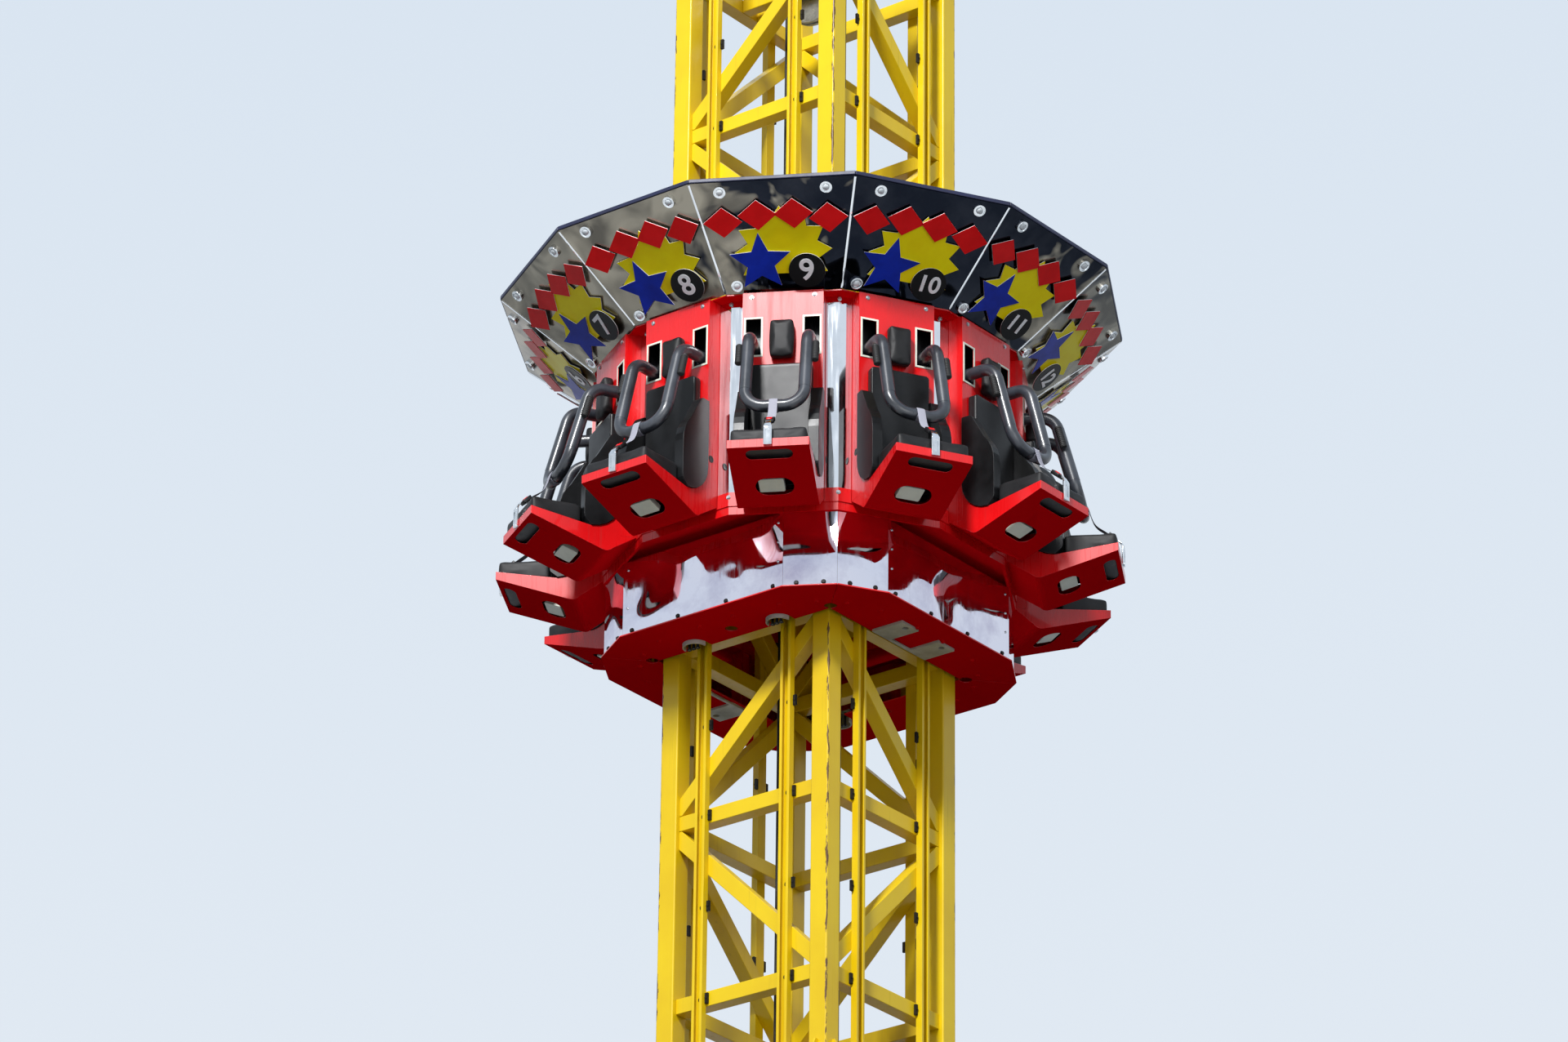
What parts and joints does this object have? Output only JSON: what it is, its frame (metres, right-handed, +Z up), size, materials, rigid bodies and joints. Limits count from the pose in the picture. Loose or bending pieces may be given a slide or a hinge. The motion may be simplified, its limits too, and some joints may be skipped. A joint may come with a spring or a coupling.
{
  "type": "drop tower ride",
  "caption": "Square lattice tower with a ring-shaped gondola of outward seats that slides up and down it and has shoulder harnesses.",
  "frame": {"origin": "on the ground at the tower's centre", "axes": "+Z up along the tower, X and Y square to the tower's sides; seat 8 faces -Y"},
  "size_m": [3.05, 3.05, 6.45],
  "materials": {
    "tower_paint": "gloss",
    "sheave_metal": "satin",
    "rope_steel": "dull",
    "red_paint": "gloss",
    "mirror_steel": "polished",
    "rim_paint": "gloss",
    "lamp_chrome": "polished",
    "bracket_paint": "satin",
    "wheel_rubber": "matte",
    "white_plastic": "satin",
    "black_plastic": "gloss",
    "latch_steel": "satin",
    "harness_pad": "satin"
  },
  "bodies": {
    "tower": {"corner_columns": "tower_paint", "foot_plates": "tower_paint", "lattice_south": "tower_paint", "lattice_east": "tower_paint", "lattice_north": "tower_paint", "lattice_west": "tower_paint", "guide_rails": "tower_paint", "base_beams": "tower_paint", "rope_beams": "tower_paint", "head_sheave": "sheave_metal", "hoist_rope": "rope_steel"},
    "gondola": {"frame_beams_x": "red_paint", "frame_beams_y": "red_paint", "frame_posts": "red_paint", "wheel_forks": "red_paint", "guide_wheels": "wheel_rubber", "guide_shoes": "bracket_paint", "brake_units": "bracket_paint", "wall_panels": "red_paint", "corner_strips": "mirror_steel", "floor_plates": "red_paint", "skirt_panels": "mirror_steel", "bottom_plate": "red_paint", "deck_plates": "red_paint", "canopy_ribs": "red_paint", "canopy_panels": "mirror_steel", "canopy_rim": "rim_paint", "canopy_lamps": "lamp_chrome", "roof_panels": "mirror_steel", "seat_housings": "red_paint", "slot_frames": "white_plastic", "headrests": "black_plastic", "seat_backs": "black_plastic", "seat_wings": "black_plastic", "seat_pans": "red_paint", "seat_cushions": "black_plastic", "control_boxes": "white_plastic", "belt_latches": "latch_steel"},
    "harness_body_1": {"harness_1": "harness_pad"},
    "harness_body_2": {"harness_2": "harness_pad"},
    "harness_body_3": {"harness_3": "harness_pad"},
    "harness_body_4": {"harness_4": "harness_pad"},
    "harness_body_5": {"harness_5": "harness_pad"},
    "harness_body_6": {"harness_6": "harness_pad"},
    "harness_body_7": {"harness_7": "harness_pad"},
    "harness_body_8": {"harness_8": "harness_pad"},
    "harness_body_9": {"harness_9": "harness_pad"},
    "harness_body_10": {"harness_10": "harness_pad"},
    "harness_body_11": {"harness_11": "harness_pad"},
    "harness_body_12": {"harness_12": "harness_pad"}
  },
  "joints": [
    {"name": "gondola_slide", "type": "slide", "parent": "tower", "child": "gondola", "axis": [0, 0, 1], "range_m": [-1.8, 2.1]},
    {"name": "harness_1_hinge", "type": "hinge", "parent": "gondola", "child": "harness_body_1", "pos_m": [0.5, 0.86603, 3.49], "axis": [0.866, -0.5, 0], "range_deg": [0, 55]},
    {"name": "harness_2_hinge", "type": "hinge", "parent": "gondola", "child": "harness_body_2", "pos_m": [0, 1, 3.49], "axis": [1, 0, 0], "range_deg": [0, 55]},
    {"name": "harness_3_hinge", "type": "hinge", "parent": "gondola", "child": "harness_body_3", "pos_m": [-0.5, 0.86603, 3.49], "axis": [0.866, 0.5, 0], "range_deg": [0, 55]},
    {"name": "harness_4_hinge", "type": "hinge", "parent": "gondola", "child": "harness_body_4", "pos_m": [-0.86603, 0.5, 3.49], "axis": [0.5, 0.866, 0], "range_deg": [0, 55]},
    {"name": "harness_5_hinge", "type": "hinge", "parent": "gondola", "child": "harness_body_5", "pos_m": [-1, 0, 3.49], "axis": [0, 1, 0], "range_deg": [0, 55]},
    {"name": "harness_6_hinge", "type": "hinge", "parent": "gondola", "child": "harness_body_6", "pos_m": [-0.86603, -0.5, 3.49], "axis": [-0.5, 0.866, 0], "range_deg": [0, 55]},
    {"name": "harness_7_hinge", "type": "hinge", "parent": "gondola", "child": "harness_body_7", "pos_m": [-0.5, -0.86603, 3.49], "axis": [-0.866, 0.5, 0], "range_deg": [0, 55]},
    {"name": "harness_8_hinge", "type": "hinge", "parent": "gondola", "child": "harness_body_8", "pos_m": [0, -1, 3.49], "axis": [-1, 0, 0], "range_deg": [0, 55]},
    {"name": "harness_9_hinge", "type": "hinge", "parent": "gondola", "child": "harness_body_9", "pos_m": [0.5, -0.86603, 3.49], "axis": [-0.866, -0.5, 0], "range_deg": [0, 55]},
    {"name": "harness_10_hinge", "type": "hinge", "parent": "gondola", "child": "harness_body_10", "pos_m": [0.86603, -0.5, 3.49], "axis": [-0.5, -0.866, 0], "range_deg": [0, 55]},
    {"name": "harness_11_hinge", "type": "hinge", "parent": "gondola", "child": "harness_body_11", "pos_m": [1, 0, 3.49], "axis": [0, -1, 0], "range_deg": [0, 55]},
    {"name": "harness_12_hinge", "type": "hinge", "parent": "gondola", "child": "harness_body_12", "pos_m": [0.86603, 0.5, 3.49], "axis": [0.5, -0.866, 0], "range_deg": [0, 55]}
  ]
}
